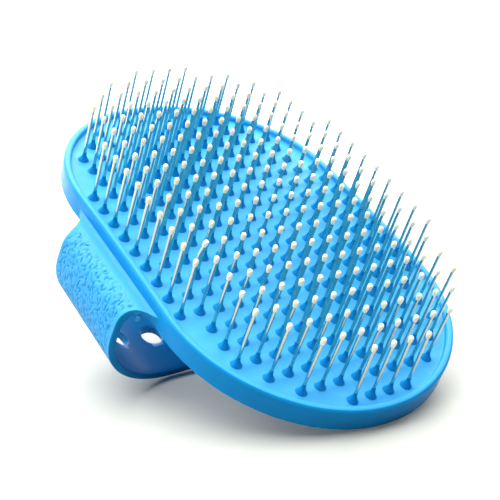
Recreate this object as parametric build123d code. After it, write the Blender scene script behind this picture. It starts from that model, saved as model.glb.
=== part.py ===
from build123d import *
import math
import os

# Palm-held rubber curry brush for pets. A soft oval pad carries rows of steel pins with round plastic
# tips, and a hand strap loops under it from one long side to the other.
# Everything is modelled in the pad's own frame: X runs along the oval, Z points out of the face, and
# the origin is the middle of the face. place_at_rest() then stands the brush as it rests on a table.
# All lengths are millimetres and all angles are degrees.

# Outline of the pad: two half discs joined by straight sides
HALF_STRAIGHT = 24.0
PAD_RADIUS = 41.7
WALL_THICKNESS = 2.1
FIT_GAP = 0.1

# The face is slightly domed along X, as a strip of a large drum whose axis is parallel to Y
FACE_RADIUS = 690.0

# Heights measured along the drum's radius from the face
RIM_TOP = 1.6
SHEET_BOTTOM = -2.1
CARRIER_BOTTOM = -3.1
COVER_TOP = -3.6
WALL_BOTTOM = -4.8
RIM_ROUNDING = 0.85

# Pins. Each row leans out from the middle one by a little more than the last, less than the face does.
PITCH_X = 6.0
PITCH_Y = 5.7
HALF_ROWS = 10
ROW_LEAN = 0.15
FIELD_RADIUS = 37.2
PIN_RADIUS = 0.43
PIN_TOP = 17.4
HEAD_RADIUS = 1.0
HEAD_CLEARANCE = 0.05
HOLE_RADIUS = 0.45
BOSS_BASE_RADIUS = 1.5
BOSS_WAIST_RADIUS = 0.88
BOSS_WAIST_HEIGHT = 1.15
BOSS_TOP_RADIUS = 0.56
BOSS_HEIGHT = 2.6
BOSS_ROOT = 0.5
TIP_RADIUS = 0.7
TIP_CENTRE = 17.22
TIP_NECK_RADIUS = 0.53
TIP_BOTTOM = 15.9

# Hand strap, seen along X: half of its outer and inner curve, from the middle of the palm side to
# the pad's side wall. Each point after the first two is joined on by an arc that carries on smoothly.
STRAP_OUTER = [(24.0, -34.1), (32.0, -33.1), (47.3, -21.4), (49.4, -12.1), (48.9, -7.2), (43.5, -2.4)]
STRAP_INNER = [(24.0, -32.1), (31.5, -31.15), (45.6, -20.4), (47.4, -12.2), (46.9, -8.6), (42.3, -4.7)]
# Seen along Z, the strap is waisted, and it flares out where it meets the pad
STRAP_HALF_WIDTH = 13.0
STRAP_SHOULDER_HALF_WIDTH = 16.0
STRAP_SHOULDER_Y = 49.2
STRAP_FLARE_RADIUS = 7.7
STRAP_FLARE_BOTTOM = -8.1
# Round air holes along the middle of the strap, spaced along its curve from the middle outwards
AIR_HOLE_RADIUS = 3.05
AIR_HOLE_SPACING = 12.2
AIR_HOLES_PER_SIDE = 3


def drum(height):
    """Solid bounded above by the surface that lies at this height over the face."""
    return Pos(0, 0, -FACE_RADIUS) * Cylinder(FACE_RADIUS + height, 4 * PAD_RADIUS, rotation=(90, 0, 0))


def layer(radius, top, bottom):
    """Slab with the pad's outline, this radius at its ends, between two heights over the face."""
    outline = SlotCenterToCenter(2 * HALF_STRAIGHT, 2 * radius)
    block = extrude(outline, amount=2 * PAD_RADIUS, both=True)
    return block & (drum(top) - drum(bottom))


def row_frame(step):
    """Frame on the face at a row of pins, counted in steps from the middle. Its Z is along the pins."""
    x = step * PITCH_X
    return Pos(x, 0, math.sqrt(FACE_RADIUS**2 - x**2) - FACE_RADIUS) * Rot(0, step * ROW_LEAN, 0)


def row_offsets(step):
    """Y of each pin in a row: every half-pitch place that lies inside the field's rounded outline."""
    past_straight = max(0, abs(step) * PITCH_X - HALF_STRAIGHT)
    places = [(k + 0.5) * PITCH_Y for k in range(-HALF_ROWS, HALF_ROWS)]
    return [y for y in places if math.hypot(past_straight, y) <= FIELD_RADIUS]


def in_row(step, item):
    """Copies of an upright item at every pin place of one row."""
    return [row_frame(step) * Pos(0, y, 0) * item for y in row_offsets(step)]


def in_every_row(item):
    return [copy for step in range(-HALF_ROWS, HALF_ROWS + 1) for copy in in_row(step, item)]


def rod(radius, bottom, top):
    return Pos(0, 0, bottom) * Cylinder(radius, top - bottom, align=(Align.CENTER, Align.CENTER, Align.MIN))


def boss():
    """Trumpet-shaped foot that grips one pin, moulded on the face."""
    flare = ThreePointArc(
        (BOSS_BASE_RADIUS, 0), (BOSS_WAIST_RADIUS, BOSS_WAIST_HEIGHT), (BOSS_TOP_RADIUS, BOSS_HEIGHT)
    )
    rest = Polyline(
        (BOSS_TOP_RADIUS, BOSS_HEIGHT), (0, BOSS_HEIGHT), (0, -BOSS_ROOT), (BOSS_BASE_RADIUS, -BOSS_ROOT),
        (BOSS_BASE_RADIUS, 0)
    )
    return revolve(Plane.XZ * make_face(flare + rest), Axis.Z)


def rubber_pad():
    """Face sheet, raised rim and side wall in one moulding, with a boss and a hole for every pin."""
    inner_radius = PAD_RADIUS - WALL_THICKNESS
    body = layer(PAD_RADIUS, RIM_TOP, WALL_BOTTOM)
    body -= layer(inner_radius, RIM_TOP + 1, 0)
    body -= layer(inner_radius, SHEET_BOTTOM, WALL_BOTTOM - 1)
    rim_face = body.faces().filter_by(GeomType.CYLINDER).sort_by(lambda face: face.radius)[-1]
    body = fillet(rim_face.edges(), RIM_ROUNDING)
    body += in_every_row(boss())
    body -= in_every_row(rod(HOLE_RADIUS, SHEET_BOTTOM - 1, BOSS_HEIGHT + 1))
    return body


def pin_carrier():
    """Stiff plate behind the face sheet. Every pin passes through it, and the pin's head stops at its back."""
    plate = layer(PAD_RADIUS - WALL_THICKNESS - FIT_GAP, SHEET_BOTTOM, CARRIER_BOTTOM)
    return plate - in_every_row(rod(HOLE_RADIUS, CARRIER_BOTTOM - 1, SHEET_BOTTOM + 1))


def back_cover():
    """Sheet that closes the back of the pad, flush with the bottom of its wall."""
    return layer(PAD_RADIUS - WALL_THICKNESS - FIT_GAP, COVER_TOP, WALL_BOTTOM)


def pin():
    """Steel wire with a flat head, which sits in the gap between the carrier and the back cover."""
    head = rod(HEAD_RADIUS, COVER_TOP + HEAD_CLEARANCE, CARRIER_BOTTOM - HEAD_CLEARANCE)
    return rod(PIN_RADIUS, CARRIER_BOTTOM - HEAD_CLEARANCE, PIN_TOP) + head


def tip():
    """Teardrop plastic ball on the end of a pin, with a blind hole for the wire."""
    neck = (TIP_NECK_RADIUS, TIP_BOTTOM)
    crown = (0, TIP_CENTRE + TIP_RADIUS)
    side = (TIP_RADIUS, TIP_CENTRE)
    taper = TangentArc(side, neck, tangent=(0, -1))
    cap = TangentArc(side, crown, tangent=(0, 1))
    core = Polyline(crown, (0, TIP_BOTTOM), neck)
    return revolve(Plane.XZ * make_face(taper + cap + core), Axis.Z) - rod(HOLE_RADIUS, 0, PIN_TOP)


def strap_curve(points):
    """Half of a strap curve in a flat XY sketch: straight across the palm side, then arcs up the side."""
    curve = Curve() + Line((0, points[0][1]), points[0])
    tangent = Vector(1, 0)
    for here, there in zip(points, points[1:]):
        arc = TangentArc(here, there, tangent=tangent)
        tangent = arc % 1
        curve += arc
    return curve


def loop_face(points):
    """Closed face inside a strap curve and its mirror image."""
    half = strap_curve(points) + Line(points[-1], (0, points[-1][1]))
    return make_face(half + mirror(half, Plane.YZ))


def air_holes():
    """Round cutters square to the strap, at equal spacing along its outer curve."""
    curve = strap_curve(STRAP_OUTER).wire()
    cutters = []
    for step in range(-AIR_HOLES_PER_SIDE, AIR_HOLES_PER_SIDE + 1):
        share = abs(step) * AIR_HOLE_SPACING / curve.length
        place, along = curve @ share, curve % share
        side = -1 if step < 0 else 1
        tilt = math.degrees(math.atan2(along.Y, along.X)) * side
        cutters.append(Pos(0, side * place.X, place.Y) * Rot(tilt, 0, 0) * Cylinder(AIR_HOLE_RADIUS, 8))
    return cutters


def flared_plan():
    """The strap's outline seen along Z where it spreads out towards the pad."""
    wide = STRAP_SHOULDER_HALF_WIDTH + STRAP_FLARE_RADIUS
    corners = [(x, y) for x in (-wide, wide) for y in (-STRAP_SHOULDER_Y, STRAP_SHOULDER_Y)]
    return Rectangle(2 * wide, 2 * STRAP_SHOULDER_Y) - Locations(*corners) * Circle(STRAP_FLARE_RADIUS)


def palm_half_width(y):
    """Half the strap's width at this Y on the palm side, where its edges are shallow arcs."""
    dip = STRAP_SHOULDER_HALF_WIDTH - STRAP_HALF_WIDTH
    arc_radius = (STRAP_SHOULDER_Y**2 + dip**2) / (2 * dip)
    return STRAP_HALF_WIDTH + arc_radius - math.sqrt(arc_radius**2 - y**2)


def waisted_plan():
    """The strap's outline seen along Z on the palm side, narrowest in the middle."""
    end = PAD_RADIUS + STRAP_FLARE_RADIUS
    side = ThreePointArc((palm_half_width(end), -end), (STRAP_HALF_WIDTH, 0), (palm_half_width(end), end))
    crossings = [Line((-palm_half_width(end), y), (palm_half_width(end), y)) for y in (-end, end)]
    return make_face(side + mirror(side, Plane.YZ) + crossings)


def hand_strap():
    """Loop for the palm, with a row of air holes. Its two ends meet the pad's side walls."""
    ring = loop_face(STRAP_OUTER) - loop_face(STRAP_INNER)
    band = extrude(Plane.YZ * ring, amount=PAD_RADIUS, both=True)
    band -= Box(4 * PAD_RADIUS, 2 * PAD_RADIUS, -2 * STRAP_FLARE_BOTTOM)
    shoulders = extrude(Pos(0, 0, STRAP_FLARE_BOTTOM) * flared_plan(), amount=PAD_RADIUS)
    palm = extrude(Pos(0, 0, STRAP_FLARE_BOTTOM) * waisted_plan(), amount=-PAD_RADIUS)
    return (band & (shoulders + palm)) - air_holes()


def rest_tilt():
    """Angle at which the strap's lower front edge and the pad's end edge both touch the table."""
    end_x = HALF_STRAIGHT + PAD_RADIUS
    end_z = math.sqrt((FACE_RADIUS + WALL_BOTTOM) ** 2 - end_x**2) - FACE_RADIUS
    flat_end_y, palm_z = STRAP_OUTER[0]
    return math.degrees(math.atan2(end_z - palm_z, end_x - palm_half_width(flat_end_y)))


def pin_rows():
    """One node of loose wires and one of loose tips for each row, numbered from the -X end."""
    rows = {}
    for step in range(-HALF_ROWS, HALF_ROWS + 1):
        number = f"{step + HALF_ROWS + 1:02d}"
        rows[f"pin_row_{number}"] = Compound(in_row(step, pin()))
        rows[f"tip_row_{number}"] = Compound(in_row(step, tip()))
    return rows


def place_at_rest(pieces):
    """The brush standing on its strap and one end, with the middle of its footprint at the origin."""
    stood = {name: Rot(0, rest_tilt(), 0) * piece for name, piece in pieces.items()}
    boxes = [piece.bounding_box() for piece in stood.values()]
    low = [min(tuple(box.min)[axis] for box in boxes) for axis in range(3)]
    high = [max(tuple(box.max)[axis] for box in boxes) for axis in range(3)]
    shift = Pos(-(low[0] + high[0]) / 2, -(low[1] + high[1]) / 2, -low[2])
    return {name: shift * piece for name, piece in stood.items()}


os.makedirs("parts", exist_ok=True)
single = {
    "rubber_pad": rubber_pad(), "pin_carrier": pin_carrier(), "back_cover": back_cover(),
    "hand_strap": hand_strap(),
}
for name, piece in place_at_rest({**single, **pin_rows()}).items():
    piece.label = name
    export_step(piece, f"parts/{name}.step")
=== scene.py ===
import math

import bpy
import numpy as np
from mathutils import Matrix, Vector, geometry

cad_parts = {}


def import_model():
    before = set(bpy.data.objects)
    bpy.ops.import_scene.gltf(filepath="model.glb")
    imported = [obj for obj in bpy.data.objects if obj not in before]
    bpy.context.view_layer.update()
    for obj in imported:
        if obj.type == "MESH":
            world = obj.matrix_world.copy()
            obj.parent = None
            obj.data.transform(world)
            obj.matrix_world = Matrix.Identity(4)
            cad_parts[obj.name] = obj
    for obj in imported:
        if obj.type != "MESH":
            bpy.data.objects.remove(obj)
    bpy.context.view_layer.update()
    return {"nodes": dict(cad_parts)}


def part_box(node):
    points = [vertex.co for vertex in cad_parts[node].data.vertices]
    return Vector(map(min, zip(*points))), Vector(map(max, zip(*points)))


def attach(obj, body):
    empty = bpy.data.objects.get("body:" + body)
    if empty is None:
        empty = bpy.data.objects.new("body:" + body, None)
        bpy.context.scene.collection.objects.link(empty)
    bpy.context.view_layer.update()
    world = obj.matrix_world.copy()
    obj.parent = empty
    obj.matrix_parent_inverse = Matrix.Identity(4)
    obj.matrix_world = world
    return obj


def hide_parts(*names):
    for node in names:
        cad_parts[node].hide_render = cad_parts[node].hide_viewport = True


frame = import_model()

# Rubber curry brush. The shapes are worked out in the pad's own frame, in millimetres: X runs along the
# oval, Z points out of the face and the origin is the middle of the face. to_table() stands them up.
MM = 0.001

# Outline: two half discs joined by straight sides
HALF_STRAIGHT = 24.0
PAD_RADIUS = 41.7
WALL_THICKNESS = 2.1
COVER_RADIUS = 39.5
FACE_RADIUS = 690.0

# Heights over the face
RIM_TOP = 1.6
SHEET_BOTTOM = -2.1
CARRIER_BOTTOM = -3.1
COVER_TOP = -3.6
WALL_BOTTOM = -4.8
RIM_ROUNDING = 0.85

# Inset and height of the rounded lip at the foot of the wall, with how ragged the mould left it
FOOT_LIP = [(0.13, -4.32, 0), (0.0, -4.4, 0.1), (0.0, -4.52, 0.16), (0.16, -4.6, 0.18), (0.3, -4.76, 0.1)]

# Rows of pins, numbered from -10 to 10 along X
PITCH_X = 6.0
PITCH_Y = 5.7
HALF_ROWS = 10
ROW_LEAN = 0.15
FIELD_RADIUS = 37.2
PIN_RADIUS = 0.43
PIN_TOP = 17.4
HEAD_RADIUS = 1.0
HEAD_CHAMFER = 0.06
HEAD_CLEARANCE = 0.05
HOLE_RADIUS = 0.45
BOSS_FOOT_RADIUS = 1.62
BOSS_HEIGHT = 2.6
BOSS_FLARE = [
    (1.54, 0.03), (1.49, 0.1), (1.44, 0.22), (1.33, 0.38), (1.18, 0.6), (0.98, 0.92), (0.8, 1.22),
    (0.67, 1.5), (0.59, 1.75), (0.55, 2.0), (0.535, 2.3), (0.52, 2.54),
]
BOSS_SEGMENTS = 20
PIN_SEGMENTS = 14
PIN_SLOPE = 0.006
LAST_ROW_SLOPE = 0.045

# Tips: a ball that runs down into a slim neck
TIP_RADIUS = 0.66
CAD_TIP_RADIUS = 0.7
TIP_CENTRE = 17.22
TIP_SIDE_RADIUS = 5.2
TIP_NECK_RADIUS = 0.49
TIP_BOTTOM = 15.9
TIP_SEGMENTS = 16

# The one pin that has been knocked: how far it is off its line at some heights, and which way
KNOCKED_ROW = 3
KNOCKED_Y = -5.5 * PITCH_Y
KNOCKED_BOW = [
    (3, 0), (6, -0.15), (9, -0.36), (11, -0.46), (12.5, -0.42), (14, -0.2), (15.5, 0.1), (18, 0.55),
]
KNOCKED_TOWARDS = (0.53, 0.85, 0)

# Hand strap: half of its outer and inner curve seen along X, each point after the first two joined by
# an arc that carries on smoothly
STRAP_OUTER = [(24.0, -34.1), (32.0, -33.1), (47.3, -21.4), (49.4, -12.1), (48.9, -7.2), (43.5, -2.4)]
STRAP_INNER = [(24.0, -32.1), (31.5, -31.15), (45.6, -20.4), (47.4, -12.2), (46.9, -8.6), (42.3, -4.7)]
STRAP_STEPS = (97, 34, 83, 40, 22, 31)
STRAP_ROOT_OUTER = [
    (42.9, -2.34), (42.4, -2.3), (42.05, -2.18), (41.82, -1.98), (41.7, -1.7), (41.2, -1.5),
]
STRAP_ROOT_INNER = [(42.1, -4.7), (41.9, -4.7), (41.8, -4.7), (41.7, -4.7), (41.5, -4.7), (41.2, -4.7)]
STRAP_SKIN_DROP = 0.05
STRAP_EDGE_OUTER = 0.35
STRAP_EDGE_INNER = 0.25
STRAP_HALF_WIDTH = 13.0
STRAP_SHOULDER_HALF_WIDTH = 16.0
STRAP_SHOULDER_Y = 49.2
STRAP_FLARE_RADIUS = 7.7
STRAP_FLARE_BOTTOM = -8.1
AIR_HOLE_RADIUS = 3.05
AIR_HOLE_SPACING = 12.2
AIR_HOLES_PER_SIDE = 3
AIR_HOLE_LIP = 0.15
AIR_HOLE_SEGMENTS = 56

# Leather grain on the outside of the strap
GRAIN_MARGIN = 0.7
GRAIN_FADE = 0.9
GRAIN_START_Y = 44.3
GRAIN_START_FADE = 1.2
GROOVE_DEEP = 0.25
GROOVE_SHALLOW = 0.10
GRAIN_SWELL = 0.05
# Groove depth at which the strap gets the full darker colour, painted shade in the grooves
GROOVE_PAINTED_SHADE_DEPTH = 0.26

# The small waisted stub left by the mould's gate on the inner edge of the strap's opening
GATE_NUB = (17.35, -43.9, -5.0)
GATE_NUB_PROFILE = [
    (0.3, -1.02), (0.55, -0.86), (0.66, -0.6), (0.6, -0.34), (0.5, -0.16), (0.56, 0.05), (0.66, 0.3),
    (0.64, 0.6), (0.5, 0.84), (0.28, 0.98),
]
GATE_NUB_ENDS = (-1.06, 1.02)
GATE_NUB_SLOPE = 0.3

SEED = 41


# ---------------------------------------------------------------- places

def turn_about_y(points, radians):
    x, y, z = points[..., 0], points[..., 1], points[..., 2]
    c, s = math.cos(radians), math.sin(radians)
    return np.stack([x * c + z * s, y, z * c - x * s], -1)


def rest_pose():
    """Tilt of the pad and place of its origin, from the balls on the first, last and middle rows."""
    rows = (1, 2 * HALF_ROWS + 1, HALF_ROWS + 1)
    first, last, middle = (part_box(f"tip_row_{number:02d}")[1] / MM for number in rows)
    tilt = math.atan2(first.z - last.z, last.x - first.x)
    ball_x = middle.x - CAD_TIP_RADIUS
    ball_z = middle.z - CAD_TIP_RADIUS
    origin = np.array([ball_x - TIP_CENTRE * math.sin(tilt), 0, ball_z - TIP_CENTRE * math.cos(tilt)])
    return tilt, origin


TILT, FACE_ORIGIN = rest_pose()


def to_table(points):
    """Points of the pad's frame, in metres, where the brush stands."""
    return (turn_about_y(np.asarray(points, float), TILT) + FACE_ORIGIN) * MM


def on_drum(x, height):
    """Z of the surface that lies at this height over the face."""
    return np.sqrt((FACE_RADIUS + height) ** 2 - x**2) - FACE_RADIUS


def to_row(points, step, y):
    """Points round an upright pin axis, moved to one pin place of one row."""
    x = step * PITCH_X
    return turn_about_y(points, math.radians(step * ROW_LEAN)) + np.array([x, y, on_drum(x, 0)])


def row_offsets(step):
    past_straight = max(0, abs(step) * PITCH_X - HALF_STRAIGHT)
    places = [(k + 0.5) * PITCH_Y for k in range(-HALF_ROWS, HALF_ROWS)]
    return [y for y in places if math.hypot(past_straight, y) <= FIELD_RADIUS]


# ---------------------------------------------------------------- mesh tools

class Skin:
    """Points and faces of one closed surface, gathered ring by ring."""

    def __init__(self):
        self.points = []
        self.faces = []
        self.polish_and_painted_shade = []

    def ring(self, points, polish_and_painted_shade=1.0):
        """Adds points; polish says how polished the mould was there, from 0 to 1, for all or for each;
        the rubbers paint polished parts darker, as painted shade, and the rest paler, as painted sheen.
        """
        start = len(self.points)
        self.points.extend(np.asarray(points, float).reshape(-1, 3).tolist())
        count = len(self.points) - start
        self.polish_and_painted_shade.extend(np.broadcast_to(polish_and_painted_shade, count).tolist())
        return list(range(start, len(self.points)))

    def strip(self, ring, other):
        """Quads from one closed ring to another of as many points."""
        for k in range(len(ring)):
            n = (k + 1) % len(ring)
            self.faces.append((ring[k], ring[n], other[n], other[k]))

    def strips(self, rings):
        for ring, other in zip(rings, rings[1:]):
            self.strip(ring, other)

    def fan(self, ring, centre, flip=False):
        for k in range(len(ring)):
            n = (k + 1) % len(ring)
            corners = (ring[k], ring[n], centre)
            self.faces.append(corners[::-1] if flip else corners)

    def web(self, outer, holes, flip=False):
        """Triangles that fill an outline round its holes."""
        rings = [outer, *holes]
        corner = [i for ring in rings for i in ring]
        owner = [k for k, ring in enumerate(rings) for _ in ring]
        flat = [Vector(self.points[i][:2]) for i in corner]
        edges = []
        start = 0
        for ring in rings:
            count = len(ring)
            edges += [(start + k, start + (k + 1) % count) for k in range(count)]
            start += count
        made = geometry.delaunay_2d_cdt(flat, edges, [], 0, 1e-7)
        origin = [members[0] for members in made[3]]
        for triangle in made[2]:
            a, b, c = (origin[i] for i in triangle)
            if owner[a] and owner[a] == owner[b] == owner[c]:
                continue
            corners = (corner[a], corner[b], corner[c])
            self.faces.append(corners[::-1] if flip else corners)

    def piece(self, name, material, sharp=40):
        mesh = bpy.data.meshes.new(name)
        mesh.from_pydata(to_table(self.points).tolist(), [], self.faces)
        mesh.attributes.new("polish_and_painted_shade", "FLOAT", "POINT").data.foreach_set("value", self.polish_and_painted_shade)
        mesh.validate()
        return finished(mesh, name, material, sharp)


def finished(mesh, name, material, sharp):
    """An object with this mesh: outward normals, smooth shading and sharp edges above an angle."""
    if signed_volume(mesh) < 0:
        mesh.flip_normals()
    mesh.shade_smooth()
    mesh.set_sharp_from_angle(angle=math.radians(sharp))
    mesh.materials.clear()
    mesh.materials.append(material)
    made = bpy.data.objects.new(name, mesh)
    bpy.context.scene.collection.objects.link(made)
    return made


def signed_volume(mesh):
    mesh.calc_loop_triangles()
    corners = np.empty(len(mesh.loop_triangles) * 3, np.int32)
    mesh.loop_triangles.foreach_get("vertices", corners)
    places = np.empty(len(mesh.vertices) * 3)
    mesh.vertices.foreach_get("co", places)
    a, b, c = places.reshape(-1, 3)[corners.reshape(-1, 3)].transpose(1, 0, 2)
    return float(np.einsum("ij,ij->i", a, np.cross(b, c)).sum() / 6)


def arc(centre, radius, start, end, count):
    """Points on an arc, both ends included; angles in degrees."""
    angles = np.radians(np.linspace(start, end, count))
    return [(centre[0] + radius * math.cos(a), centre[1] + radius * math.sin(a)) for a in angles]


def spun(radii_and_heights, segments):
    """Rings of points, one for each (radius, height), round the Z axis."""
    angles = np.arange(segments) * 2 * math.pi / segments
    return [
        np.stack([r * np.cos(angles), r * np.sin(angles), np.full(segments, z)], -1)
        for r, z in radii_and_heights
    ]


# ---------------------------------------------------------------- the pad

def outline(arc_step, line_step):
    """Centres and outward normals round the oval, so that a point is centre + radius * normal."""
    arc_count = round(math.pi * PAD_RADIUS / arc_step)
    line_count = round(2 * HALF_STRAIGHT / line_step)
    centres, normals = [], []
    for side in (1, -1):
        for k in range(arc_count):
            angle = (k / arc_count - 0.5) * math.pi
            centres.append((side * HALF_STRAIGHT, 0))
            normals.append((side * math.cos(angle), side * math.sin(angle)))
        for k in range(line_count):
            centres.append((side * HALF_STRAIGHT * (1 - 2 * k / line_count), 0))
            normals.append((0, side))
    return np.array(centres, float), np.array(normals, float)


def outline_ring(outline_points, inset, height):
    centres, normals = outline_points
    flat = centres + (PAD_RADIUS - np.reshape(inset, (-1, 1))) * normals
    return np.column_stack([flat, on_drum(flat[:, 0], height)])


def wander(count, rng, waves):
    """Smooth random wobble round a closed ring, from -1 to 1."""
    along = np.arange(count) / count * 2 * math.pi
    total = sum(rng.normal() * np.sin(n * along + rng.uniform(0, 6.3)) for n in waves)
    return total / np.abs(total).max()


def pad_moulding(material):
    """The face, rim, side wall and bosses in one skin; matt on the face and inside the rim, painted paler
    there as painted sheen, and polished elsewhere, painted darker as painted shade on the wall and
    bosses.
    """
    rng = np.random.default_rng(SEED)
    skin = Skin()
    path = outline(0.55, 0.55)
    count = len(path[0])
    ragged = 0.5 + 0.5 * wander(count, rng, range(30, 190, 3))
    inner_top = arc((WALL_THICKNESS - RIM_ROUNDING, RIM_TOP - RIM_ROUNDING), RIM_ROUNDING, 0, 90, 6)
    outer_top = arc((RIM_ROUNDING, RIM_TOP - RIM_ROUNDING), RIM_ROUNDING, 90, 180, 7)
    profile = [(WALL_THICKNESS + 0.45, 0), (WALL_THICKNESS + 0.18, 0.05), (WALL_THICKNESS + 0.03, 0.17)]
    profile += inner_top + outer_top
    profile += [(0.03, -0.8), (0.08, -2.6), (0.13, -4.15)]
    # The face and rim rings are matt, painted paler as painted sheen; the wall's rings are polished,
    # painted darker as painted shade
    painted_sheen_matt_rings = len(inner_top) + 5
    rings = [
        skin.ring(outline_ring(path, inset, height), 0 if k < painted_sheen_matt_rings else 1)
        for k, (inset, height) in enumerate(profile)
    ]
    for inset, height, share in FOOT_LIP:
        inset = inset + share * (1 - ragged)
        height = height - 0.1 * share * ragged
        rings.append(skin.ring(outline_ring(path, inset, height)))
    under = [
        (0.6, WALL_BOTTOM), (WALL_THICKNESS - 0.15, WALL_BOTTOM), (WALL_THICKNESS, WALL_BOTTOM + 0.15),
        (WALL_THICKNESS, SHEET_BOTTOM),
    ]
    rings += [skin.ring(outline_ring(path, inset, height)) for inset, height in under]
    skin.strips(rings)
    feet, exits = [], []
    for step in range(-HALF_ROWS, HALF_ROWS + 1):
        for y in row_offsets(step):
            upright = enumerate(spun(boss_profile(rng), BOSS_SEGMENTS))
            # A boss's foot ring is matt; the rest is polished, painted darker as painted shade on the
            # boss
            boss = [skin.ring(to_row(ring, step, y), min(k, 1)) for k, ring in upright]
            skin.strips(boss)
            feet.append(boss[0])
            exits.append(boss[-1])
    skin.web(rings[0], feet)
    skin.web(rings[-1], exits, flip=True)
    return skin.piece("pad_moulding", material, 50)


def boss_profile(rng):
    """Trumpet-shaped foot round a pin, from its fillet on the face to the hole through the sheet."""
    tall = (BOSS_HEIGHT + rng.uniform(-0.08, 0.08)) / BOSS_HEIGHT
    wide = 1 + rng.uniform(-0.02, 0.02)
    flare = [(r * wide, z * tall) for r, z in BOSS_FLARE]
    lip = [(HOLE_RADIUS + 0.04, BOSS_HEIGHT * tall), (HOLE_RADIUS, BOSS_HEIGHT * tall - 0.06)]
    return [(BOSS_FOOT_RADIUS, 0), *flare, *lip, (HOLE_RADIUS, SHEET_BOTTOM)]


def back_sheet(material):
    """Sheet that closes the back of the pad, with rounded edges."""
    skin = Skin()
    path = outline(1.1, 1.5)
    inset = PAD_RADIUS - COVER_RADIUS
    rounding = 0.35
    corner = (inset + rounding, WALL_BOTTOM + rounding)
    profile = [(inset + 0.1, COVER_TOP), (inset, COVER_TOP - 0.1)]
    profile += arc(corner, rounding, 180, 270, 6)
    rings = [skin.ring(outline_ring(path, d, h)) for d, h in profile]
    skin.strips(rings)
    skin.web(rings[0], [])
    skin.web(rings[-1], [], flip=True)
    return skin.piece("back_sheet", material)


# ---------------------------------------------------------------- pins and tips

HEAD_BOTTOM = COVER_TOP + HEAD_CLEARANCE
HEAD_TOP = CARRIER_BOTTOM - HEAD_CLEARANCE
PIN_PROFILE = [
    (HEAD_RADIUS - HEAD_CHAMFER, HEAD_BOTTOM), (HEAD_RADIUS, HEAD_BOTTOM + HEAD_CHAMFER),
    (HEAD_RADIUS, HEAD_TOP - HEAD_CHAMFER), (HEAD_RADIUS - HEAD_CHAMFER, HEAD_TOP),
    (PIN_RADIUS, HEAD_TOP), (PIN_RADIUS, 0), (PIN_RADIUS, 3), (PIN_RADIUS, 6),
    (PIN_RADIUS, 9), (PIN_RADIUS, 11), (PIN_RADIUS, 12), (PIN_RADIUS, 13), (PIN_RADIUS, 14),
    (PIN_RADIUS, 15), (PIN_RADIUS, 16), (PIN_RADIUS, PIN_TOP - 0.1), (PIN_RADIUS - 0.08, PIN_TOP),
]
TIP_PROFILE = [
    (HOLE_RADIUS, PIN_TOP), (HOLE_RADIUS, TIP_BOTTOM), (TIP_NECK_RADIUS, TIP_BOTTOM),
    *arc((TIP_RADIUS - TIP_SIDE_RADIUS, TIP_CENTRE), TIP_SIDE_RADIUS, -14.6, 0, 6),
    *arc((0, TIP_CENTRE), TIP_RADIUS, 15, 80, 6),
]


def solid_of_revolution(skin, profile, segments, ends, put, polish_and_painted_shade=1.0):
    """A closed lathed form, with its two ends on the axis, put in place by a function."""
    rings = [skin.ring(put(ring), polish_and_painted_shade) for ring in spun(profile, segments)]
    skin.strips(rings)
    for ring, height, flip in ((rings[0], ends[0], True), (rings[-1], ends[1], False)):
        centre = skin.ring(put(np.array([[0.0, 0.0, height]])), polish_and_painted_shade)[0]
        skin.fan(ring, centre, flip)


def lean(points, slope):
    """Tips an upright pin sideways from the top of its boss by this much for each millimetre."""
    above = np.maximum(points[:, 2:3] - BOSS_HEIGHT + 1, 0)
    return points + np.column_stack([above * slope[0], above * slope[1], np.zeros(len(points))])


def knock(points):
    """Bows a knocked pin back along its middle and forwards at its tip."""
    away = np.interp(points[:, 2], *zip(*KNOCKED_BOW))
    return points + away[:, None] * KNOCKED_TOWARDS


def pin_row(number, wire, plastic, rng):
    """The wires and the tips of one row, each pair leaning a little inwards."""
    step = number - HALF_ROWS - 1
    pins, tips = Skin(), Skin()
    for y in row_offsets(step):
        inwards = -1 if step > 0 else 1
        slope = np.abs(rng.normal(0, PIN_SLOPE, 2)) * [inwards, -np.sign(y)]
        if step == HALF_ROWS:
            slope[0] -= LAST_ROW_SLOPE
        knocked = step == KNOCKED_ROW and abs(y - KNOCKED_Y) < 1

        def put(points, slope=slope, y=y, knocked=knocked):
            return to_row(knock(points) if knocked else lean(points, slope), step, y)

        solid_of_revolution(pins, PIN_PROFILE, PIN_SEGMENTS, (HEAD_BOTTOM, PIN_TOP), put)
        solid_of_revolution(tips, TIP_PROFILE, TIP_SEGMENTS, (PIN_TOP, TIP_CENTRE + TIP_RADIUS), put)
    return pins.piece(f"pins_{number:02d}", wire), tips.piece(f"tips_{number:02d}", plastic)


# ---------------------------------------------------------------- the strap

def smooth_curve(points, counts):
    """Points along a half strap curve: straight from the middle, then arcs that carry on smoothly."""
    here = np.array(points[0], float)
    run = [np.array([here[0] * k / counts[0], here[1]]) for k in range(counts[0] + 1)]
    ahead = np.array([1.0, 0.0])
    for there, count in zip(points[1:], counts[1:]):
        there = np.array(there, float)
        chord = there - here
        across = np.array([-ahead[1], ahead[0]])
        radius = chord @ chord / (2 * across @ chord)
        sweep = 2 * math.atan2(across @ chord, ahead @ chord)
        centre = here + across * radius
        for k in range(1, count + 1):
            a = sweep * k / count
            spoke = -across * radius
            run.append(centre + [
                spoke[0] * math.cos(a) - spoke[1] * math.sin(a),
                spoke[0] * math.sin(a) + spoke[1] * math.cos(a),
            ])
        ahead = np.array([
            ahead[0] * math.cos(sweep) - ahead[1] * math.sin(sweep),
            ahead[0] * math.sin(sweep) + ahead[1] * math.cos(sweep),
        ])
        here = there
    return np.array(run)


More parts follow.
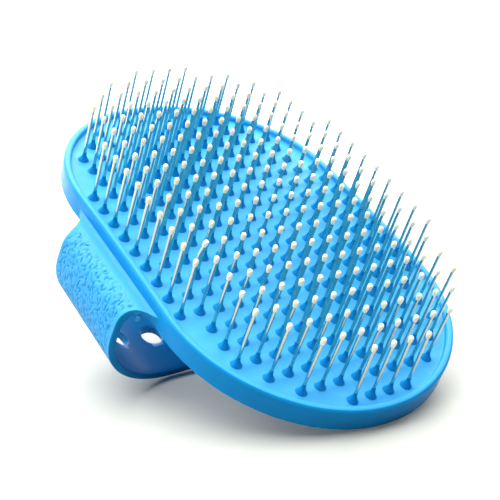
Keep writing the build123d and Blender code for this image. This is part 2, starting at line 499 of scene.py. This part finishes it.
def strap_half_width(y, z):
    """Half the strap's width: waisted on the palm side, spreading out towards the pad."""
    if z < STRAP_FLARE_BOTTOM:
        dip = STRAP_SHOULDER_HALF_WIDTH - STRAP_HALF_WIDTH
        radius = (STRAP_SHOULDER_Y**2 + dip**2) / (2 * dip)
        return STRAP_HALF_WIDTH + radius - math.sqrt(radius**2 - y**2)
    reach = min(max(STRAP_SHOULDER_Y - abs(y), 0), STRAP_FLARE_RADIUS)
    spread = STRAP_FLARE_RADIUS - math.sqrt(STRAP_FLARE_RADIUS**2 - reach**2)
    return STRAP_SHOULDER_HALF_WIDTH + spread


def swirl(u, v, seed, wavelength):
    """Smooth random field from about -1 to 1."""
    rng = np.random.default_rng(seed)
    total = np.zeros_like(u)
    for _ in range(8):
        a = rng.uniform(0, 2 * math.pi)
        k = 2 * math.pi / (wavelength * rng.uniform(0.7, 1.5))
        total += np.sin(k * (u * math.cos(a) + v * math.sin(a)) + rng.uniform(0, 6.3))
    return total / 4


def groove_distance(u, v, seed, wavelength, stretch):
    """Millimetres from the nearest line of a random maze of winding lines."""
    rng = np.random.default_rng(seed)
    waves = 36
    level, slope_u, slope_v = np.zeros_like(u), np.zeros_like(u), np.zeros_like(u)
    for k in range(waves):
        a = math.pi * (k + rng.random()) / waves
        turn = 2 * math.pi / (wavelength * rng.uniform(0.8, 1.2))
        along, across = turn * math.cos(a) * stretch, turn * math.sin(a)
        phase = along * u + across * v + rng.uniform(0, 6.3)
        level += np.sin(phase)
        slope_u += along * np.cos(phase)
        slope_v += across * np.cos(phase)
    steep = np.hypot(slope_u, slope_v)
    return np.abs(level) / np.maximum(steep, 2.5 * waves**0.5 / wavelength)


def leather(u, v):
    """Height of the moulded leather grain in millimetres, from 0 on top of the grain downwards."""
    zigzag_u = u + 0.13 * swirl(u, v, 3, 0.95)
    zigzag_v = v + 0.13 * swirl(u, v, 4, 0.95)
    broad = groove_distance(zigzag_u, zigzag_v, 7, 2.0, 0.7)
    narrow = groove_distance(zigzag_u, zigzag_v, 9, 1.3, 0.75)
    broad_cut = np.clip(0.7 + 1.1 * swirl(u, v, 8, 2.4), 0, 1)
    narrow_cut = np.clip(0.15 + 1.0 * swirl(u, v, 18, 3.0), 0, 1)
    deep = broad_cut * np.exp(-((broad / 0.17) ** 2))
    shallow = narrow_cut * np.exp(-((narrow / 0.15) ** 2))
    swell = np.clip(0.5 + 0.5 * swirl(u, v, 21, 1.9), 0, 1)
    return -GROOVE_DEEP * deep - GROOVE_SHALLOW * shallow - GRAIN_SWELL * swell


def hand_strap(material):
    """The strap's loop, one ring of points after another from the low Y root to the high Y one."""
    outer = np.vstack([smooth_curve(STRAP_OUTER, STRAP_STEPS), STRAP_ROOT_OUTER])
    inner = np.vstack([smooth_curve(STRAP_INNER, STRAP_STEPS), STRAP_ROOT_INNER])
    travelled = np.concatenate([[0], np.cumsum(np.hypot(*np.diff(outer, axis=0).T))])
    outer = np.vstack([outer[:0:-1] * [-1, 1], outer])
    inner = np.vstack([inner[:0:-1] * [-1, 1], inner])
    travelled = np.concatenate([-travelled[:0:-1], travelled])
    skin = Skin()
    rings = [skin.ring(*strap_section(*stop)) for stop in zip(outer, inner, travelled)]
    skin.strips(rings)
    for ring, flip in ((rings[0], True), (rings[-1], False)):
        centre = skin.ring(np.mean([skin.points[k] for k in ring], axis=0))[0]
        skin.fan(ring, centre, flip)
    strap = skin.piece("strap", material, 50)
    cut_air_holes(strap, outer, travelled)
    add_gate_nub(strap)
    return strap


def strap_section(outer, inner, travelled):
    """Ring of points round the strap between an outer and an inner point, and its polish, which also sets
    painted shade: darker in the grain's grooves, on the edges and on the inner face, paler on the grain's
    tops.
    """
    half_width = strap_half_width(*outer)
    thickness = float(np.hypot(*(outer - inner)))
    out = (outer - inner) / thickness
    thickness -= STRAP_SKIN_DROP
    outer_flat = half_width - STRAP_EDGE_OUTER
    inner_flat = half_width - STRAP_EDGE_INNER
    across = np.linspace(-outer_flat, outer_flat, 114)
    rooted = 1.0
    if outer[1] > STRAP_FLARE_BOTTOM:
        rooted = max(0.0, min(1.0, (abs(outer[0]) - GRAIN_START_Y) / GRAIN_START_FADE))
    fade = np.clip((half_width - np.abs(across) - GRAIN_MARGIN) / GRAIN_FADE, 0, 1) * rooted
    grain = leather(np.full_like(across, travelled + 200), across + 100) * fade
    face = np.stack([across, thickness + grain], -1)
    right = arc((outer_flat, thickness - STRAP_EDGE_OUTER), STRAP_EDGE_OUTER, 90, 0, 6)[1:]
    right += arc((inner_flat, STRAP_EDGE_INNER), STRAP_EDGE_INNER, 0, -90, 5)
    back = [(x, 0) for x in np.linspace(inner_flat, -inner_flat, 16)[1:]]
    left = arc((-inner_flat, STRAP_EDGE_INNER), STRAP_EDGE_INNER, 270, 180, 5)[1:]
    left += arc((-outer_flat, thickness - STRAP_EDGE_OUTER), STRAP_EDGE_OUTER, 180, 90, 6)[:-1]
    ring = np.vstack([face, right, back, left])
    polish_and_painted_shade = np.ones(len(ring))
    # Grooves get the darker colour as painted shade; the flat tops and smooth margins get the paler one
    # as painted sheen; the edges and the inner face stay darker, painted shade inside the loop
    polish_and_painted_shade[:len(face)] = np.clip(-grain / GROOVE_PAINTED_SHADE_DEPTH, 0, 1)
    points = [ring[:, 0], inner[0] + out[0] * ring[:, 1], inner[1] + out[1] * ring[:, 1]]
    return np.column_stack(points), polish_and_painted_shade


def cut_air_holes(strap, outer, travelled):
    """Cuts the round air holes square through the strap, each with rounded lips."""
    cutters = Skin()
    for k in range(-AIR_HOLES_PER_SIDE, AIR_HOLES_PER_SIDE + 1):
        at = k * AIR_HOLE_SPACING
        y, z = (np.interp(at, travelled, outer[:, axis]) for axis in (0, 1))
        further = [np.interp(at + 0.5, travelled, outer[:, axis]) for axis in (0, 1)]
        ahead = np.array(further) - (y, z)
        ahead /= np.hypot(*ahead)
        out = np.array([ahead[1], -ahead[0]])

        def put(points, y=y, z=z, ahead=ahead, out=out):
            return np.column_stack([
                points[:, 0],
                y + ahead[0] * points[:, 1] + out[0] * points[:, 2],
                z + ahead[1] * points[:, 1] + out[1] * points[:, 2],
            ])

        flare_out = [
            (AIR_HOLE_RADIUS + AIR_HOLE_LIP * (1 - math.cos(a)), AIR_HOLE_LIP * (math.sin(a) - 1))
            for a in np.radians([0, 25, 50, 75])
        ]
        flare_in = [(r, -2 - h) for r, h in reversed(flare_out)]
        profile = [(AIR_HOLE_RADIUS + 0.3, -4), (AIR_HOLE_RADIUS + 0.2, -2.1), *flare_in, *flare_out]
        profile += [(AIR_HOLE_RADIUS + 0.2, 0.1), (AIR_HOLE_RADIUS + 0.3, 3)]
        solid_of_revolution(cutters, profile, AIR_HOLE_SEGMENTS, (-4, 3), put)
    combine(strap, cutters.piece("air_hole_cutters", strap.data.materials[0]), "DIFFERENCE")


def add_gate_nub(strap):
    skin = Skin()

    def put(points):
        x, y, z = GATE_NUB
        sideways = y + GATE_NUB_SLOPE * points[:, 2]
        return np.column_stack([points[:, 0] + x, points[:, 1] + sideways, z + points[:, 2]])

    # Polish 0 gives the nub the paler colour, a painted highlight
    solid_of_revolution(skin, GATE_NUB_PROFILE, 18, GATE_NUB_ENDS, put, 0)
    combine(strap, skin.piece("gate_nub", strap.data.materials[0]), "UNION")


def combine(piece, other, operation):
    """Cuts the other piece from this one, or joins it on, and removes the other."""
    change = piece.modifiers.new("change", "BOOLEAN")
    change.operation = operation
    change.solver = "EXACT"
    change.object = other
    keep_modified(piece, 50)
    bpy.data.objects.remove(other)


def keep_modified(piece, sharp):
    """Replaces a piece's mesh by what its modifiers make of it."""
    seen = bpy.context.evaluated_depsgraph_get()
    mesh = bpy.data.meshes.new_from_object(piece.evaluated_get(seen))
    mesh.shade_smooth()
    mesh.set_sharp_from_angle(angle=math.radians(sharp))
    piece.modifiers.clear()
    piece.data = mesh


# ---------------------------------------------------------------- materials

class Finish:
    """A procedural material, with its texture space in millimetres."""

    def __init__(self, name):
        self.material = bpy.data.materials.new(name)
        self.material.use_nodes = True
        self.tree = self.material.node_tree
        self.shader = self.tree.nodes["Principled BSDF"]
        places = self.tree.nodes.new("ShaderNodeTexCoord")
        scale = self.tree.nodes.new("ShaderNodeMapping")
        scale.inputs["Scale"].default_value = (1 / MM, 1 / MM, 1 / MM)
        self.tree.links.new(places.outputs["Object"], scale.inputs["Vector"])
        self.space = scale.outputs["Vector"]

    def noise(self, size, detail=3, roughness=0.55):
        node = self.tree.nodes.new("ShaderNodeTexNoise")
        node.inputs["Scale"].default_value = 1 / size
        node.inputs["Detail"].default_value = detail
        node.inputs["Roughness"].default_value = roughness
        self.tree.links.new(self.space, node.inputs["Vector"])
        return node.outputs["Fac"]

    def ramp(self, factor, stops):
        """Colour between two stops, each a position and a colour."""
        node = self.tree.nodes.new("ShaderNodeValToRGB")
        elements = node.color_ramp.elements
        for element, (position, colour) in zip(elements, stops):
            element.position = position
            element.color = colour
        self.tree.links.new(factor, node.inputs["Fac"])
        return node.outputs["Color"]

    def patches(self, size, low, high):
        """Soft patches of one colour in another, of about this many millimetres."""
        return self.ramp(self.noise(size), [(0.3, low), (0.7, high)])

    def between(self, factor, low, high, start=0.3, end=0.7):
        """Value that goes from low to high as the factor goes from start to end."""
        node = self.tree.nodes.new("ShaderNodeMapRange")
        node.inputs["From Min"].default_value = start
        node.inputs["From Max"].default_value = end
        node.inputs["To Min"].default_value = low
        node.inputs["To Max"].default_value = high
        self.tree.links.new(factor, node.inputs["Value"])
        return node.outputs["Result"]

    def by_finish_and_painted_shade(self, matt_painted_sheen, polished_painted_shade, kind="FLOAT"):
        """One value on the mould's matt parts and another on its polished ones; in colour, the first is
        painted sheen and the second painted shade.
        """
        polish_and_painted_shade = self.tree.nodes.new("ShaderNodeAttribute")
        polish_and_painted_shade.attribute_name = "polish_and_painted_shade"
        return self.mixed(polish_and_painted_shade.outputs["Fac"], kind, matt_painted_sheen, polished_painted_shade)

    def mixed(self, share, kind, low, high):
        """Low where the share is 0 and high where it is 1, each a value or a socket."""
        mix = self.tree.nodes.new("ShaderNodeMix")
        mix.data_type = kind
        self.tree.links.new(share, mix.inputs["Factor"])
        ends = [socket for socket in mix.inputs if socket.enabled and socket.name in ("A", "B")]
        for socket, value in zip(ends, (low, high)):
            if isinstance(value, (float, tuple)):
                socket.default_value = value
            else:
                self.tree.links.new(value, socket)
        return next(socket for socket in mix.outputs if socket.enabled)

    def bump(self, height, distance):
        """Normals of small unevenness, this many millimetres deep."""
        node = self.tree.nodes.new("ShaderNodeBump")
        node.inputs["Distance"].default_value = distance * MM
        node.inputs["Strength"].default_value = 1
        self.tree.links.new(height, node.inputs["Height"])
        return node.outputs["Normal"]

    def drive(self, socket, value):
        self.tree.links.new(value, self.shader.inputs[socket])

    def set(self, socket, value):
        self.shader.inputs[socket].default_value = value


def blue_rubber(name, matt_painted_sheen, polished_painted_shade):
    """Rubber that is duller where the mould was matt than where it was polished, painted paler there as
    painted sheen and darker on the polished parts as painted shade.
    """
    finish = Finish(name)
    patches = finish.noise(9, 4)
    colours = [
        finish.ramp(patches, [(0.35, tuple(0.93 * level for level in base)), (0.62, base)])
        for base in (matt_painted_sheen, polished_painted_shade)
    ]
    # Base colour: paler on matt parts as painted sheen, darker on polished parts as painted shade
    finish.drive("Base Color", finish.by_finish_and_painted_shade(*colours, "RGBA"))
    finish.drive("Roughness", finish.by_finish_and_painted_shade(
        finish.between(finish.noise(2.2, 5), 0.5, 0.6), finish.between(finish.noise(2.2, 5), 0.3, 0.38)))
    finish.drive("Specular IOR Level", finish.by_finish_and_painted_shade(0.3, 0.06))
    finish.set("Subsurface Weight", 0.05)
    finish.set("Subsurface Radius", (0.2, 0.7, 1.0))
    finish.set("Subsurface Scale", 0.8 * MM)
    finish.drive("Normal", finish.bump(finish.noise(0.55, 3), 0.012))
    return finish.material


def steel_wire():
    finish = Finish("pin_steel")
    finish.set("Metallic", 1)
    finish.drive("Base Color", finish.patches(1.5, (0.53, 0.55, 0.45, 1), (0.61, 0.63, 0.52, 1)))
    finish.drive("Roughness", finish.between(finish.noise(0.4, 4), 0.05, 0.1))
    finish.drive("Normal", finish.bump(finish.noise(0.5, 2), 0.0015))
    return finish.material


def cream_plastic():
    finish = Finish("tip_plastic")
    finish.drive("Base Color", finish.patches(1.2, (0.62, 0.63, 0.50, 1), (0.70, 0.71, 0.60, 1)))
    finish.drive("Roughness", finish.between(finish.noise(0.5), 0.18, 0.28))
    finish.set("Subsurface Weight", 0.2)
    finish.set("Subsurface Radius", (1.0, 0.9, 0.6))
    finish.set("Subsurface Scale", 0.4 * MM)
    finish.drive("Normal", finish.bump(finish.noise(0.3), 0.004))
    return finish.material


def white_carrier():
    finish = Finish("inner_plate")
    finish.drive("Base Color", finish.patches(4, (0.70, 0.70, 0.67, 1), (0.78, 0.78, 0.75, 1)))
    finish.drive("Roughness", finish.between(finish.noise(0.8), 0.5, 0.62))
    finish.drive("Normal", finish.bump(finish.noise(0.3), 0.01))
    return finish.material


# ---------------------------------------------------------------- the studio

FLOOR_REACH = 6.0
FLOOR_PAINTED_SHADE_FADE = (170, 330)
LIGHT_DIRECTION = (-0.44, -0.02, 0.898)
LIGHT_FALL_OFF = {"From Min": 0.34, "From Max": 0.78, "To Min": 0.02, "To Max": 6.9}

# The camera's aim and distance in millimetres; elevation, azimuth and roll in degrees, where azimuth 0
# looks along +Y and 90 along -X
CAMERA_AIM = (0.98, -1.69, 32.12)
CAMERA_DISTANCE = 307.25
CAMERA_ANGLES = (14.80, 54.91, -0.09)
CAMERA_LENS = 81.42


def floor():
    """Pale paper, painted darker round the brush as painted shade and brighter away from it."""
    mesh = bpy.data.meshes.new("floor")
    corners = [(FLOOR_REACH * x, FLOOR_REACH * y, 0) for x, y in ((-1, -1), (1, -1), (1, 1), (-1, 1))]
    mesh.from_pydata(corners, [], [(0, 1, 2, 3)])
    finish = Finish("floor_paper")
    # Painted shade: the paper near the brush is darker and brightens to a pale colour between these radii
    shade = finish.patches(40, (0.315, 0.325, 0.31, 1), (0.325, 0.335, 0.32, 1))
    away = finish.tree.nodes.new("ShaderNodeVectorMath")
    away.operation = "LENGTH"
    finish.tree.links.new(finish.space, away.inputs[0])
    painted_shade_fade = finish.between(away.outputs["Value"], 0.0, 1.0, *FLOOR_PAINTED_SHADE_FADE)
    finish.drive("Base Color", finish.mixed(painted_shade_fade, "RGBA", shade, (0.75, 0.76, 0.73, 1)))
    finish.set("Roughness", 0.6)
    finish.set("Specular IOR Level", 0.3)
    mesh.materials.append(finish.material)
    made = bpy.data.objects.new("floor", mesh)
    bpy.context.scene.collection.objects.link(made)


def world():
    """A broad soft light above and behind on the left that fades out towards the camera."""
    made = bpy.data.worlds.new("studio")
    bpy.context.scene.world = made
    made.use_nodes = True
    tree = made.node_tree
    direction = tree.nodes.new("ShaderNodeTexCoord")
    towards = tree.nodes.new("ShaderNodeVectorMath")
    towards.operation = "DOT_PRODUCT"
    towards.inputs[1].default_value = LIGHT_DIRECTION
    level = tree.nodes.new("ShaderNodeMapRange")
    level.interpolation_type = "SMOOTHSTEP"
    for socket, value in LIGHT_FALL_OFF.items():
        level.inputs[socket].default_value = value
    backdrop = tree.nodes["Background"]
    backdrop.inputs["Color"].default_value = (1, 0.99, 0.965, 1)
    tree.links.new(direction.outputs["Generated"], towards.inputs[0])
    tree.links.new(towards.outputs["Value"], level.inputs["Value"])
    tree.links.new(level.outputs["Result"], backdrop.inputs["Strength"])


def camera():
    """Low and close in front of the brush's low end, as in the reference view."""
    elevation, azimuth, roll = (math.radians(angle) for angle in CAMERA_ANGLES)
    back = Vector((
        math.sin(azimuth) * math.cos(elevation),
        -math.cos(azimuth) * math.cos(elevation),
        math.sin(elevation),
    ))
    lens = bpy.data.cameras.new("camera")
    lens.sensor_width = 36
    lens.lens = CAMERA_LENS
    lens.clip_start = 0.01
    lens.clip_end = 50
    made = bpy.data.objects.new("camera", lens)
    made.location = Vector(CAMERA_AIM) * MM + back * (CAMERA_DISTANCE * MM)
    made.rotation_mode = "QUATERNION"
    rolled = Matrix.Rotation(roll, 3, "Z").to_quaternion()
    made.rotation_quaternion = (-back).to_track_quat("-Z", "Y") @ rolled
    bpy.context.scene.collection.objects.link(made)
    bpy.context.scene.camera = made


def place(piece, node):
    """Puts a piece where one CAD node was: on the body and in its stead."""
    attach(piece, "root")
    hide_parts(node)


camera()
floor()
world()
bpy.context.scene.view_settings.view_transform = "Standard"

# First colour of each rubber is the matt one, paler as painted sheen; the second is the polished one,
# darker as painted shade
pad_rubber = blue_rubber("pad_rubber", (0.010, 0.265, 0.60, 1), (0.003, 0.19, 0.48, 1))
strap_rubber = blue_rubber("strap_rubber", (0.012, 0.26, 0.58, 1), (0.003, 0.18, 0.44, 1))
back_rubber = blue_rubber("back_rubber", (0.010, 0.26, 0.58, 1), (0.004, 0.20, 0.50, 1))
wire = steel_wire()
plastic = cream_plastic()

place(pad_moulding(pad_rubber), "rubber_pad")
place(back_sheet(back_rubber), "back_cover")
place(hand_strap(strap_rubber), "hand_strap")
rng = np.random.default_rng(SEED + 1)
for number in range(1, 2 * HALF_ROWS + 2):
    pins, tips = pin_row(number, wire, plastic, rng)
    place(pins, f"pin_row_{number:02d}")
    place(tips, f"tip_row_{number:02d}")
carrier = frame["nodes"]["pin_carrier"].data.materials
carrier.clear()
carrier.append(white_carrier())
